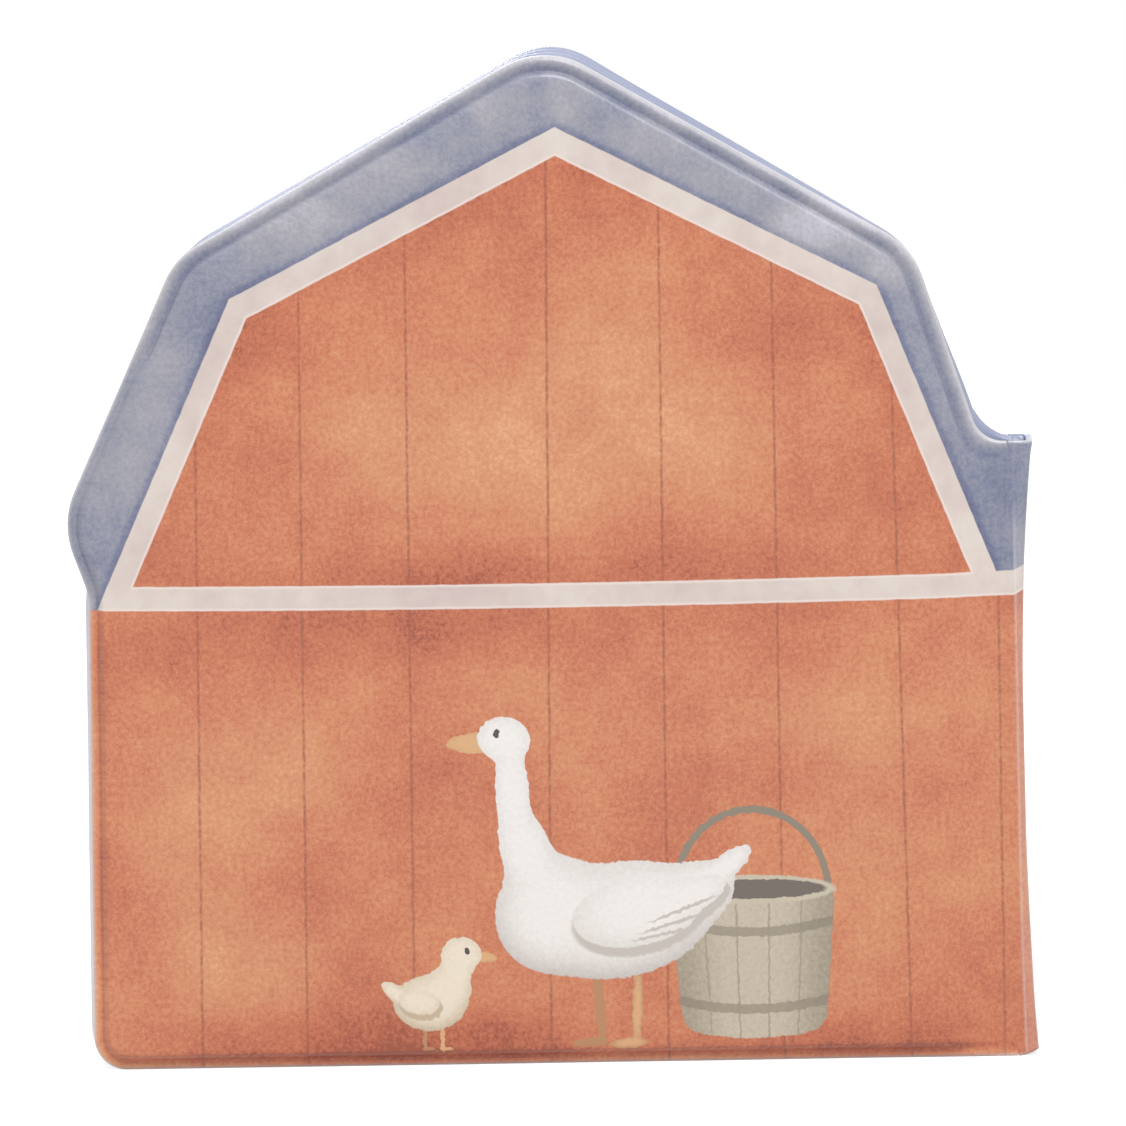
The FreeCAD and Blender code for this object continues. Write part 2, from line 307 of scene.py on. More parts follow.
tonePatches = (  # across, up, half width, half height, strength: lighter and darker places
    (2.0, 98.0, 42.0, 18.0, 0.24), (-25.0, 102.0, 13.0, 9.0, 0.08), (7.0, 117.0, 13.0, 13.0, 0.12),
    (28.8, 97.5, 10.0, 9.0, 0.05), (-9.0, 96.0, 9.0, 10.0, 0.06),
    (-46.0, 46.0, 16.0, 15.0, 0.2), (-46.0, 17.0, 13.0, 11.0, 0.2), (-58.0, 30.0, 9.0, 22.0, 0.16),
    (46.0, 52.0, 14.0, 10.0, 0.16), (47.5, 35.0, 11.0, 12.0, 0.16), (46.0, 14.0, 12.0, 10.0, 0.1),
    (64.0, 45.0, 8.0, 30.0, 0.1), (16.0, 55.0, 30.0, 10.0, 0.08),
    (-44.0, 112.0, 12.0, 9.0, -0.14), (49.0, 88.0, 11.0, 9.0, -0.12), (2.0, 136.0, 14.0, 7.0, -0.12),
    (0.0, 77.0, 70.0, 5.0, -0.12), (-30.0, 67.0, 48.0, 6.0, -0.16), (-68.0, 60.0, 8.0, 10.0, -0.08),
    (-20.0, 3.0, 32.0, 7.0, -0.34), (50.0, 3.0, 30.0, 5.0, -0.22),
    (5.6, 149.5, 5.0, 4.0, 0.2), (-7.0, 148.0, 4.0, 4.0, 0.16), (16.5, 142.5, 7.0, 4.5, 0.2),
    (42.0, 128.0, 9.0, 5.0, 0.32), (53.0, 122.0, 5.0, 4.0, 0.28), (-22.0, 138.0, 13.0, 5.0, 0.17),
    (-38.0, 131.0, 11.0, 5.0, 0.17), (-58.0, 108.0, 7.0, 9.0, 0.18), (29.0, 135.0, 9.0, 4.0, 0.14),
    (0.5, 150.0, 2.5, 6.0, -0.12), (1.5, 152.5, 9.0, 3.0, -0.05), (69.0, 84.0, 7.0, 13.0, -0.24),
    (-71.0, 82.0, 5.0, 9.0, -0.08),
)
patchCore, patchFade = 0.2, 1.1  # share of a patch at full strength, and over which it fades

wash = {  # watercolour: the size and weight of its small and broad blots, and its grain's size
    "small": (4.0, 0.3),
    "broad": (17.0, 0.45),
    "grain": 0.75,
}


def toneAt(points):
    # sum of soft ovals, each easing from its strength at the middle to nothing at its rim
    total = np.zeros(len(points))
    for across, up, halfWidth, halfHeight, strength in tonePatches:
        reach = np.hypot((points[:, 0] - across) / halfWidth, (points[:, 2] - up) / halfHeight)
        total += strength * (1 - ease((reach - patchCore) / patchFade))
    return total


def clouds(tree, folded):
    # broad and small blots together, and a fine grain
    (small, smallWeight), (broad, broadWeight) = wash["small"], wash["broad"]
    blots = calc(tree, "MULTIPLY_ADD",
                 noise(tree, folded, small, detail=2.0, roughness=0.6), smallWeight,
                 calc(tree, "MULTIPLY", noise(tree, folded, broad), broadWeight))
    return blots, noise(tree, folded, wash["grain"], detail=2.0, roughness=0.8)


def washes(tree, folded):
    # blots, grain, the blots over the tone that the mesh carries, and a slow wobble for edges
    blots, grain = clouds(tree, folded)
    tone = calc(tree, "ADD", blots, mark(tree, "tone"))
    return blots, grain, tone, noise(tree, folded, barn["wobbleSize"])


def beyond(tree, flat, start, end):
    # distance from the line start to end, positive on its left-hand side
    across, up = end[0] - start[0], end[1] - start[1]
    length = math.hypot(across, up)
    normal = (-up / length, across / length)
    return dot(tree, flat, (*normal, -normal[0] * start[0] - normal[1] * start[1]))


def inside(tree, distance, soft=0.1):
    # 1 where the distance is negative and 0 where it is positive
    return span(tree, distance, -soft, soft, 1.0, 0.0)


def plankLines(tree, across, up, folded, wobble, colour):
    # hand-drawn lines: distance to the nearest line, broken into dashes by noise
    nearest = None
    drawn = calc(tree, "MULTIPLY_ADD", wobble, barn["plankWander"], across)
    for foot, lean in barn["planks"]:
        gap = gapTo(tree, calc(tree, "MULTIPLY_ADD", up, -lean, drawn), foot)
        nearest = gap if nearest is None else calc(tree, "MINIMUM", nearest, gap)
    breaks = noise(tree, folded, barn["dashSize"], stretch=barn["dashStretch"])
    ink = calc(tree, "MULTIPLY", span(tree, nearest, *barn["plankSpan"]),
               span(tree, breaks, *barn["dashSpan"]))
    return mix(tree, ink, colour, plankInk)


def bandRise(tree, across, up, wobble):
    # height against the band: level apart from its sag, its climb at the spine and the wobble
    off = calc(tree, "SUBTRACT", across, barn["bandMiddle"])
    rise = calc(tree, "MULTIPLY_ADD", calc(tree, "MULTIPLY", off, off), -barn["bandSag"], up)
    turn = calc(tree, "MAXIMUM", calc(tree, "SUBTRACT", across, barn["turnFrom"]), 0.0)
    rise = calc(tree, "MULTIPLY_ADD", turn, -barn["bandTurn"], rise)
    return calc(tree, "MULTIPLY_ADD", wobble, barn["wander"], rise)


def wallPrint(tree, across, up, folded, tone, grain, wobble, toTrim):
    # planks in orange wash, a little darker beside the trim
    tone = calc(tree, "ADD", tone, span(tree, toTrim, *barn["wallSpan"]))
    tone = calc(tree, "MULTIPLY_ADD", grain, barn["wallGrain"], tone)
    return plankLines(tree, across, up, folded, wobble, ramp(tree, tone, wallStops))


def barnPrint(tree, across, up, flat, folded):
    # fields of the print: wall and gable planks, roof, roof trim and the band under the gable
    blots, grain, tone, wobble = washes(tree, folded)
    edge = calc(tree, "MULTIPLY", wobble, barn["wander"])
    leftLeg = beyond(tree, flat, barn["leftFoot"], barn["leftKnee"])
    legs = calc(tree, "MAXIMUM", leftLeg, beyond(tree, flat, barn["rightKnee"], barn["rightFoot"]))
    slopes = calc(tree, "MAXIMUM", beyond(tree, flat, barn["leftKnee"], barn["apex"]),
                  beyond(tree, flat, barn["apex"], barn["rightKnee"]))
    outer = calc(tree, "ADD", edge, calc(tree, "MAXIMUM", slopes, legs))
    inner = calc(tree, "ADD", edge, calc(
        tree, "MAXIMUM", calc(tree, "ADD", slopes, barn["slopeTrim"]),
        calc(tree, "ADD", legs, barn["legTrim"])))
    rise = bandRise(tree, across, up, wobble)
    aboveBand = calc(tree, "SUBTRACT", rise, barn["bandHigh"])
    belowBand = calc(tree, "SUBTRACT", rise, barn["bandLow"])
    gable = calc(tree, "MAXIMUM", inner, calc(tree, "MULTIPLY", aboveBand, -1.0))
    toTrim = calc(tree, "MINIMUM", calc(tree, "ABSOLUTE", gable),
                  calc(tree, "ABSOLUTE", belowBand))
    wall = wallPrint(tree, across, up, folded, tone, grain, wobble, toTrim)

    halo = calc(tree, "ADD", span(tree, outer, *barn["haloSpan"]),
                span(tree, outer, *barn["glowSpan"]))
    roofTone = calc(tree, "ADD", tone, halo)
    roof = ramp(tree, calc(tree, "MULTIPLY_ADD", grain, barn["roofGrain"], roofTone), roofStops)
    streaks = calc(tree, "MULTIPLY_ADD", grain, barn["trimGrain"],
                   calc(tree, "MULTIPLY_ADD", blots, barn["trimBlots"], 0.5))
    rim = gapTo(tree, toTrim, barn["rimAt"])
    trim = mix(tree, span(tree, rim, *barn["rimSpan"]), mix(tree, streaks, *trimColours), trimEdge)

    colour = mix(tree, inside(tree, outer), roof, trim)
    onBand = calc(tree, "MULTIPLY", inside(tree, aboveBand), inside(tree, leftLeg))
    colour = mix(tree, onBand, colour, trim)
    colour = mix(tree, inside(tree, gable), colour, wall)
    return mix(tree, inside(tree, belowBand), colour, wall), blots


# the small picture on the back cover's wall: a goose, a gosling and a wooden pail

inks = {
    "white": paint(246, 243, 239),
    "whiteShade": paint(203, 195, 189),
    "cream": paint(242, 231, 211),
    "creamShade": paint(203, 183, 156),
    "greige": paint(205, 194, 174),
    "greigeShade": paint(160, 149, 130),
    "greigeDark": paint(142, 132, 116),
    "hollow": paint(112, 103, 94),
    "tan": paint(224, 176, 128),
    "tanShade": paint(188, 138, 98),
    "eye": paint(78, 70, 70),
}
drawing = {
    "wander": 0.5,  # outlines wander by this
    "wanderSize": 0.9,
    "shadeTo": 1.15,  # a shape's shade is full at this reach
    "shadeTop": 0.3,  # share of the shade that is left at the figure's top
    "speckle": 0.5,
}
# each layer: ink, shade, softness of its rim, amount of shade, and its ovals, which melt
# together; each oval: across, up, half width, half height and turn in degrees
goose = {
    "place": (3.4, 2.4), "scale": 1.04, "shadeFrom": 8.0, "shadeTo": 34.0,
    "layers": (
        ("tanShade", None, 0.12, 0, ((3.4, 6.6, 0.75, 6.4, 4), (1.9, 1.0, 2.6, 0.7, 5))),
        ("tan", "tanShade", 0.12, 0.8, ((9.0, 6.2, 0.8, 6.0, -2), (7.6, 0.8, 2.8, 0.75, 4))),
        ("tan", "tanShade", 0.1, 0.8, ((-15.0, 46.2, 3.6, 1.15, 8), (-14.2, 45.0, 2.6, 0.7, 0))),
        ("white", "whiteShade", 0.03, 1.0, (
            (6.8, 19.2, 13.6, 8.6, 10), (-3.8, 20.6, 7.8, 8.6, -20), (-7.0, 29.5, 3.7, 6.8, 15),
            (-8.8, 38.5, 2.5, 7.6, 3), (-9.9, 46.4, 3.9, 3.3, -8), (17.6, 22.8, 6.4, 4.4, 28),
            (22.4, 26.8, 4.8, 1.7, 38))),
        ("whiteShade", None, 0.1, 0, ((9.6, 19.6, 10.2, 5.7, 12), (17.8, 21.8, 5.6, 2.5, 22))),
        ("white", "whiteShade", 0.05, 0.45, ((9.4, 20.6, 9.8, 5.3, 12), (17.4, 22.8, 5.3, 2.2, 22))),
        ("whiteShade", None, 0.5, 0, ((16.0, 20.6, 5.2, 0.28, 21),)),
        ("whiteShade", None, 0.5, 0, ((14.6, 18.6, 5.0, 0.28, 17),)),
        ("whiteShade", None, 0.5, 0, ((12.8, 16.9, 4.4, 0.26, 12),)),
        ("eye", None, 0.2, 0, ((-11.0, 47.3, 0.55, 0.64, 0),)),
    ),
}
gosling = {
    "place": (-19.5, 2.6), "scale": 1.1, "shadeFrom": 2.0, "shadeTo": 13.0,
    "layers": (
        ("tanShade", None, 0.25, 0, ((-0.6, 1.7, 0.32, 1.8, 0), (-0.1, 0.2, 0.9, 0.26, 0))),
        ("tan", None, 0.25, 0, ((1.9, 1.6, 0.32, 1.8, 0), (2.4, 0.15, 0.9, 0.26, 0))),
        ("tan", "tanShade", 0.15, 0.8, ((8.0, 13.0, 1.7, 0.7, -4),)),
        ("cream", "creamShade", 0.05, 1.0, (
            (0.0, 6.5, 4.9, 3.8, -6), (2.7, 8.4, 3.2, 3.6, -12), (4.1, 10.9, 1.9, 2.8, 0),
            (4.8, 13.4, 2.8, 2.5, 0), (-4.7, 8.2, 2.2, 1.0, -38))),
        ("creamShade", None, 0.15, 0, ((-1.1, 6.2, 3.1, 2.0, -10),)),
        ("cream", "creamShade", 0.15, 0.4, ((-1.3, 6.8, 2.9, 1.75, -10),)),
        ("eye", None, 0.3, 0, ((5.6, 13.9, 0.38, 0.44, 0),)),
    ),
}
pail = {
    "place": (30.8, 2.9),
    "scale": 0.98,
    "halfWidth": 12.2,
    "middle": 12.4,
    "halfHeight": 11.6,
    "taper": 0.075,  # wider at the top
    "sag": 0.011,  # hoops and rims hang at their middles
    "hoops": (5.4, 17.6),
    "hoopHalf": 0.75,
    "stave": 0.4,  # width of a stave as a share of the half width
    "rim": (0.0, 24.3, 13.1, 2.3, 0),
    "hollow": (0.0, 24.4, 11.6, 1.55, 0),
    "handle": (0.0, 24.2, 11.9, 12.8, 0),
    "handleSpan": (0.035, 0.055, 1.0, 0.0),  # from the handle's middle line outwards
    "square": 10.0,  # power that makes the pail's outline nearly square
    "soft": 0.1,  # softness of its outlines
    "sideSpan": (0.25, 1.05, 0.08, 0.9),  # shade from its middle to its sides
    "speckle": 0.9,
    "staveSpan": (0.015, 0.05, 0.75, 0.0),  # ink from a line between staves outwards
    "hoopInk": 0.9,
}


def ovalReach(tree, local, oval):
    # squared distance from the oval's middle, 1 at its rim: two dot products turn and scale
    x, z, halfWidth, halfHeight, turn = oval
    c, s = math.cos(math.radians(turn)), math.sin(math.radians(turn))
    u = dot(tree, local, (c / halfWidth, s / halfWidth, -(c * x + s * z) / halfWidth))
    v = dot(tree, local, (-s / halfHeight, c / halfHeight, (s * x - c * z) / halfHeight))
    return calc(tree, "MULTIPLY_ADD", v, v, calc(tree, "MULTIPLY", u, u))


def meltedReach(tree, local, ovals, sharpness=3.0):
    # ovals melted together: each adds exp(-sharpness * reach), and the logarithm of the sum
    # gives a reach that is 1 at a lone oval's rim and less where ovals meet
    base = math.exp(-sharpness)
    total = 1e-18  # keeps the logarithm finite far outside
    for oval in ovals:
        total = calc(tree, "ADD", calc(tree, "POWER", base, ovalReach(tree, local, oval)), total)
    return calc(tree, "LOGARITHM", total, base)


def within(tree, reach, soft):
    # 1 inside a shape, where its reach is less than 1, and 0 outside
    return span(tree, reach, 1 - soft, 1 + soft, 1.0, 0.0)


def figurePlace(tree, across, up, figure):
    # the place in the figure's own lengths, from its foot, as (across, up, 1)
    k = 1 / figure["scale"]
    x = calc(tree, "MULTIPLY_ADD", across, k, -figure["place"][0] * k)
    z = calc(tree, "MULTIPLY_ADD", up, k, -figure["place"][1] * k)
    return x, z, node(tree, "CombineXYZ", {0: x, 1: z, 2: 1.0}).outputs[0]


def drawBird(tree, across, up, grain, colour, bird):
    # one layer over the other, each shaded towards its rim and most of all low down
    _, z, local = figurePlace(tree, across, up, bird)
    low = span(tree, z, bird["shadeFrom"], bird["shadeTo"], 1.0, drawing["shadeTop"])
    for ink, shade, soft, amount, ovals in bird["layers"]:
        reach = meltedReach(tree, local, ovals)
        fill = inks[ink]
        if shade:
            turned = span(tree, reach, 0.0, drawing["shadeTo"], 0.0, amount)
            turned = calc(tree, "MULTIPLY", turned, low)
            dusk = calc(tree, "MULTIPLY_ADD", grain, drawing["speckle"], turned)
            fill = mix(tree, dusk, inks[ink], inks[shade])
        colour = mix(tree, within(tree, reach, soft), colour, fill)
    return colour


def drawPail(tree, across, up, grain, colour):
    # a thin ring for the handle; then a tapered, nearly square shape of staves and hoops, which
    # are drawn by their height over a sagging level; then the ovals of its rim and its hollow
    x, z, local = figurePlace(tree, across, up, pail)
    ring = gapTo(tree, calc(tree, "SQRT", ovalReach(tree, local, pail["handle"])), 1.0)
    colour = mix(tree, span(tree, ring, *pail["handleSpan"]), colour, inks["greigeDark"])
    level = calc(tree, "MULTIPLY_ADD", calc(tree, "MULTIPLY", x, x), -pail["sag"], z)
    v = calc(tree, "MULTIPLY_ADD", level, 1 / pail["halfHeight"],
             -pail["middle"] / pail["halfHeight"])
    wide = calc(tree, "MULTIPLY_ADD", v, pail["taper"] * pail["halfWidth"], pail["halfWidth"])
    side = calc(tree, "ABSOLUTE", calc(tree, "DIVIDE", x, wide))
    reach = calc(tree, "ADD", calc(tree, "POWER", side, pail["square"]),
                 calc(tree, "POWER", calc(tree, "ABSOLUTE", v), pail["square"]))
    body = within(tree, reach, pail["soft"])
    # distance to the nearest line between two staves, then to the nearest hoop
    between = calc(tree, "FRACT", calc(tree, "MULTIPLY", side, 1 / pail["stave"]))
    between = gapTo(tree, between, 0.5)
    hoop = calc(tree, "MINIMUM", *(gapTo(tree, level, h) for h in pail["hoops"]))
    dusk = calc(tree, "MULTIPLY_ADD", grain, pail["speckle"], span(tree, side, *pail["sideSpan"]))
    fill = mix(tree, dusk, inks["greige"], inks["greigeShade"])
    fill = mix(tree, span(tree, between, *pail["staveSpan"]), fill, inks["greigeShade"])
    onHoop = span(tree, hoop, pail["hoopHalf"] - pail["soft"], pail["hoopHalf"] + pail["soft"],
                  pail["hoopInk"], 0.0)
    fill = mix(tree, onHoop, fill, mix(tree, dusk, inks["greigeShade"], inks["greigeDark"]))
    colour = mix(tree, body, colour, fill)
    for oval, ink in ((pail["rim"], "greige"), (pail["hollow"], "hollow")):
        reach = ovalReach(tree, local, oval)
        colour = mix(tree, within(tree, reach, pail["soft"]), colour, inks[ink])
    return colour


def drawPictures(tree, across, up, folded, grain, colour):
    # the three figures, with outlines that wander a little
    wander = calc(tree, "MULTIPLY", noise(tree, folded, drawing["wanderSize"]), drawing["wander"])
    across, up = calc(tree, "ADD", across, wander), calc(tree, "SUBTRACT", up, wander)
    colour = drawPail(tree, across, up, grain, colour)
    colour = drawBird(tree, across, up, grain, colour, goose)
    return drawBird(tree, across, up, grain, colour, gosling)


def paintedHighlight(tree, colour):
    # painted highlight: a pale line along the film's cut edge, and on the spine where its edge mark
    # is lowered
    return mix(tree, span(tree, mark(tree, "edge"), *film["highlightSpan"]), colour, film["highlight"])


def barnFilm(name):
    # the whole barn
    material = newMaterial(name)
    tree = material.node_tree
    across, up, flat, folded = printPlace(tree)
    colour, blots = barnPrint(tree, across, up, flat, folded)
    finishFilm(tree, folded, blots, paintedHighlight(tree, colour))
    return material


def wallFilm(name, pictured):
    # the print below the band alone, with or without the picture
    material = newMaterial(name)
    tree = material.node_tree
    across, up, _, folded = printPlace(tree)
    blots, grain, tone, wobble = washes(tree, folded)
    toBand = calc(tree, "SUBTRACT", barn["bandLow"], bandRise(tree, across, up, wobble))
    colour = wallPrint(tree, across, up, folded, tone, grain, wobble, toBand)
    if pictured:
        colour = drawPictures(tree, across, up, folded, grain, colour)
    finishFilm(tree, folded, blots, paintedHighlight(tree, colour))
    return material


scenery = {
    "roll": 60.0,  # size of the waves in the hills
    "hill": (50.0, 56.0),  # how far its line rolls, and its height
    "field": (-34.0, 31.0),
    "soft": 0.4,  # softness of their outlines
    "blots": 2.0,
    "grain": 0.5,
    "weld": (paint(150, 157, 183), paint(170, 175, 197)),  # the welded edge is printed pale
    "weldSpan": (2.3, 2.6, 1.0, 0.0),
    "foot": paint(226, 222, 230),  # and paler below the eaves
    "footSpan": (78.0, 90.0, 1.0, 0.0),
}


def pageFilm(name, sky, hill, field, shift):
    # an inner scene: pale sky, a far hill and a near field as soft fields of colour; the hills
    # roll by noise, taken from a place that is shifted across
    material = newMaterial(name)
    tree = material.node_tree
    _, up, _, folded = printPlace(tree)
    blots, grain = clouds(tree, folded)
    moved = node(tree, "VectorMath", {0: folded, 1: (shift, 0, 0)}).outputs[0]
    roll = noise(tree, moved, scenery["roll"])
    tone = calc(tree, "MULTIPLY_ADD", blots, scenery["blots"],
                calc(tree, "MULTIPLY_ADD", grain, scenery["grain"], 0.5))
    hillLine, fieldLine = (
        calc(tree, "SUBTRACT", up, calc(tree, "MULTIPLY_ADD", roll, *scenery[land]))
        for land in ("hill", "field"))
    colour = mix(tree, inside(tree, hillLine, scenery["soft"]),
                 mix(tree, tone, *sky), mix(tree, tone, *hill))
    colour = mix(tree, inside(tree, fieldLine, scenery["soft"]), colour, mix(tree, tone, *field))
    edge = mark(tree, "edge")
    weld = mix(tree, span(tree, up, *scenery["footSpan"]),
               mix(tree, tone, *scenery["weld"]), scenery["foot"])
    colour = mix(tree, span(tree, edge, *scenery["weldSpan"]), colour, weld)
    finishFilm(tree, folded, blots, colour)
    return material


barnPrinted = barnFilm("printedFilm")
wallPrinted = wallFilm("printedWall", pictured=False)
picturePrinted = wallFilm("printedPicture", pictured=True)
meadowPrinted = pageFilm("printedMeadow", (paint(176, 183, 210), paint(196, 200, 220)),
                         (paint(166, 180, 148), paint(186, 196, 164)),
                         (paint(144, 162, 126), paint(164, 180, 140)), shift=37.0)
strawPrinted = pageFilm("printedStraw", (paint(176, 183, 210), paint(200, 202, 220)),
                        (paint(194, 186, 150), paint(210, 200, 168)),
                        (paint(212, 182, 128), paint(226, 200, 150)), shift=74.0)
print("films ready")


# leaves: padded foam between two printed films, welded round the cut edge

leaf = {
    # across, up, radius at the cut edge, radius at the foam: anticlockwise from beside the wall
    "corners": np.array((
        (-71.7, 0.0, 5.0, 3.0),
        (creaseX, 0.0, 0.3, 2.5),
        (creaseX, tabTop, 0.3, 2.5),
        (67.2, tabTop, 5.0, 7.2),
        (57.3, 124.95, 12.0, 9.8),
        (1.6, 157.4, 13.0, 10.8),
        (-55.8, 125.6, 12.0, 9.8),
        (-74.6, 85.1, 13.0, 10.8),
        (-70.6, 73.9, 10.0, 12.2),
    )),
    "creaseEdge": 1,  # the edge that starts at this corner has no bead
    "arcShare": 0.94,  # the most of an edge that the arcs at its ends take up
    "leastRadius": 0.3,
    "crest": 1.1,  # from the cut edge to the top of the rolled bead
    "bead": 0.85,  # half thickness there
    "beadRound": 0.3,  # share of a rounder curve in the bead's rise
    "weld": 2.4,  # from the cut edge to the foam
    "film": 0.6,  # half thickness of the welded film
    "wall": 0.8,  # width of the foam's steep rim, and its share of the height
    "wallShare": 0.64,
    "swell": 5.0,  # width over which the foam rounds up to its top
    "levelTo": 5.4,  # from the crease, where the bead begins, and how softly it does
    "levelFade": 3.0,
    "levelWidth": 0.3,  # rounding of the film's end there
    "waves": (16, 48),  # shortest and longest waves of the foam's top
    "puckers": (4, 11),  # and of the puckers that it has near the weld, up to these insets
    "puckerFrom": 3.0,
    "puckerFade": 5.0,
    "wander": 0.28,  # the welded edge waves out of its plane by this, in waves of these lengths
    "wanders": (22, 60),
    "wanderWidth": 6.0,  # up to this inset, and fully from this distance from the crease
    "wanderFrom": 10.0,
    "beadHighlight": (0.24, 0.6, 0.7),  # painted highlight: the bead is lighter up to this inset, and how far it fades
    "grooveShade": (-0.16, 2.1, 0.5),  # painted shade: the groove is darker at this inset, and its width
    "centre": (0.0, 68.0),
    "insets": (0.0, 0.04, 0.1, 0.18, 0.3, 0.45, 0.6, 0.75, 0.9, 1.05, 1.2, 1.3, 1.38, 1.46, 1.56,
               1.7, 1.85, 2.0, 2.15, 2.3, 2.4, 2.46, 2.54, 2.64, 2.8, 3.0, 3.3, 3.8, 4.5, 5.5, 7.0),
    "innerRings": 24,
    "innerPower": 0.9,  # they crowd towards the rim by this power
    "innerInset": 10.0,
    "arcSteps": 12,
    "spacing": 1.3,
}
lower = {  # the walls, the bottom and the left eave, which are welded a little differently
    "top": 66.0,  # the walls end at this height, and the left eave so much higher
    "eaveRise": 40.0,
    "eaveX": -64.0,  # the eave counts up to here across
    "fade": 14.0,  # how softly these end
    "weld": 0.75,  # the weld is narrower by this share
    "film": 0.14,  # its film is thicker by this
    "bead": -0.1,  # and its bead thinner
    "wall": 1.1,  # the foam's rim is wider by this
    "soft": 0.8,  # and softer by this share
}
creaseGap = 0.02  # the covers and the spine end this far from the crease


def swing(spoke, angle):
    # the spoke turned by each angle: (x cos - y sin, x sin + y cos)
    x, y = spoke[..., :1], spoke[..., 1:]
    cos, sin = np.cos(angle), np.sin(angle)
    return np.stack((x * cos - y * sin, x * sin + y * cos), -1)


def insetRings(corners, insets, weld, spacing, arcSteps):
    # the outline moved inwards by each inset: its corner points slide along their mitres, and
    # each corner is rounded by an arc tangent to both edges, whose radius goes from the cut
    # edge's to the foam's and then shrinks or grows with the inset
    point = corners[:, :2]
    along = np.roll(point, -1, 0) - point
    length = np.hypot(along[:, 0], along[:, 1])
    heading = along / length[:, None]
    normal = np.stack((-heading[:, 1], heading[:, 0]), 1)
    before, normalBefore = np.roll(heading, 1, 0), np.roll(normal, 1, 0)
    mitre = (normalBefore + normal) / (1 + (normalBefore * normal).sum(1))[:, None]
    turn = np.arctan2(before[:, 0] * heading[:, 1] - before[:, 1] * heading[:, 0],
                      (before * heading).sum(1))
    side = np.sign(turn)
    d = np.asarray(insets)[:, None]
    moved = point[None] + d[:, :, None] * mitre[None]
    radius = corners[:, 2] + (corners[:, 3] - corners[:, 2]) * np.minimum(d / weld, 1)
    radius = np.maximum(radius - side * np.maximum(d - weld, 0), leaf["leastRadius"])
    reach = radius * np.tan(np.abs(turn) / 2)
    edge = np.linalg.norm(np.roll(moved, -1, 1) - moved, axis=2)
    share = np.minimum(1, leaf["arcShare"] * edge / (reach + np.roll(reach, -1, 1)))
    share = np.minimum(share, np.roll(share, 1, 1))
    radius, reach = radius * share, reach * share
    columns, crease = [], []
    for i in range(len(point)):
        start = moved[:, i] - reach[:, i, None] * before[i]
        spoke = -radius[:, i, None] * side[i] * normalBefore[i]
        arc = (start - spoke)[:, None] + swing(spoke, turn[i] * np.linspace(0, 1, arcSteps))
        j = (i + 1) % len(point)
        end = moved[:, j] - reach[:, j, None] * heading[i]
        count = max(2, int(round(length[i] / spacing)))
        t = (np.arange(1, count) / count)[None, :, None]
        columns += [arc, arc[:, -1:] * (1 - t) + end[:, None] * t]
        onCrease = i in (leaf["creaseEdge"], leaf["creaseEdge"] + 1)
        crease += [np.full(arcSteps, onCrease), np.full(count - 1, i == leaf["creaseEdge"])]
    return np.concatenate(columns, 1), np.concatenate(crease)


def weldHeight(d, bead, crest, film):
    # from the cut edge up to the bead's top a parabola, with a share of the square root of
    # 1 - (1 - t) to the fourth; then a soft fall to the welded film
    t, share = np.clip(d / crest, 0, 1), leaf["beadRound"]
    rolled = bead * ((1 - share) * (1 - (1 - t) ** 2) + share * np.sqrt(1 - (1 - t) ** 4))
    return rolled + (film - rolled) * ease((d - crest) / (leaf["weld"] - crest))


def lowerShare(x, z):
    # 1 on the walls, the bottom and the left eave, and 0 on the other edges of the roof
    eave = 1 - ease((x - lower["eaveX"]) / lower["fade"])
    return 1 - ease((z - lower["top"] - lower["eaveRise"] * eave) / lower["fade"])


def fromCrease(x, z):
    # distance from the crease, which ends at the top of the tab
    return np.hypot(creaseX - x, np.maximum(z - tabTop, 0))


def sideHeight(x, z, d, settings):
    # one side's height over the leaf's middle plane: bead and weld, then the foam's steep rim
    # and its rounded top; towards the crease the foam thins out smoothly
    low = lowerShare(x, z)
    d = d * (1 + lower["weld"] * low)
    wall = leaf["wall"] + lower["wall"] * low
    rise = np.clip((d - leaf["weld"]) / wall, 0, 1)
    step = np.sqrt(1 - (1 - rise) ** 2)
    step += lower["soft"] * low * (ease(rise) - step)
    swell = 1 - (1 - np.clip((d - leaf["weld"]) / leaf["swell"], 0, 1)) ** 3
    foam = leaf["wallShare"] * step + (1 - leaf["wallShare"]) * swell
    apart = fromCrease(x, z)
    foam = foam * ease((apart - settings["flat"]) / settings["thin"])
    flat = weldHeight(d, leaf["bead"] + lower["bead"] * low, leaf["crest"],
                      leaf["film"] + lower["film"] * low)
    level = settings["creaseHeight"] * np.sqrt(np.clip(d / leaf["levelWidth"], 0, 1))
    flat = flat + (level - flat) * ease((leaf["levelTo"] - apart) / leaf["levelFade"])
    top = settings["top"] + settings["wave"] * ripple(x, z, settings["seed"], *leaf["waves"])
    near = np.exp(-np.maximum(d - leaf["puckerFrom"], 0) / leaf["puckerFade"])
    top = top + settings["pucker"] * ripple(x, z, settings["seed"] + 1, *leaf["puckers"]) * near
    return flat + (top - flat) * foam


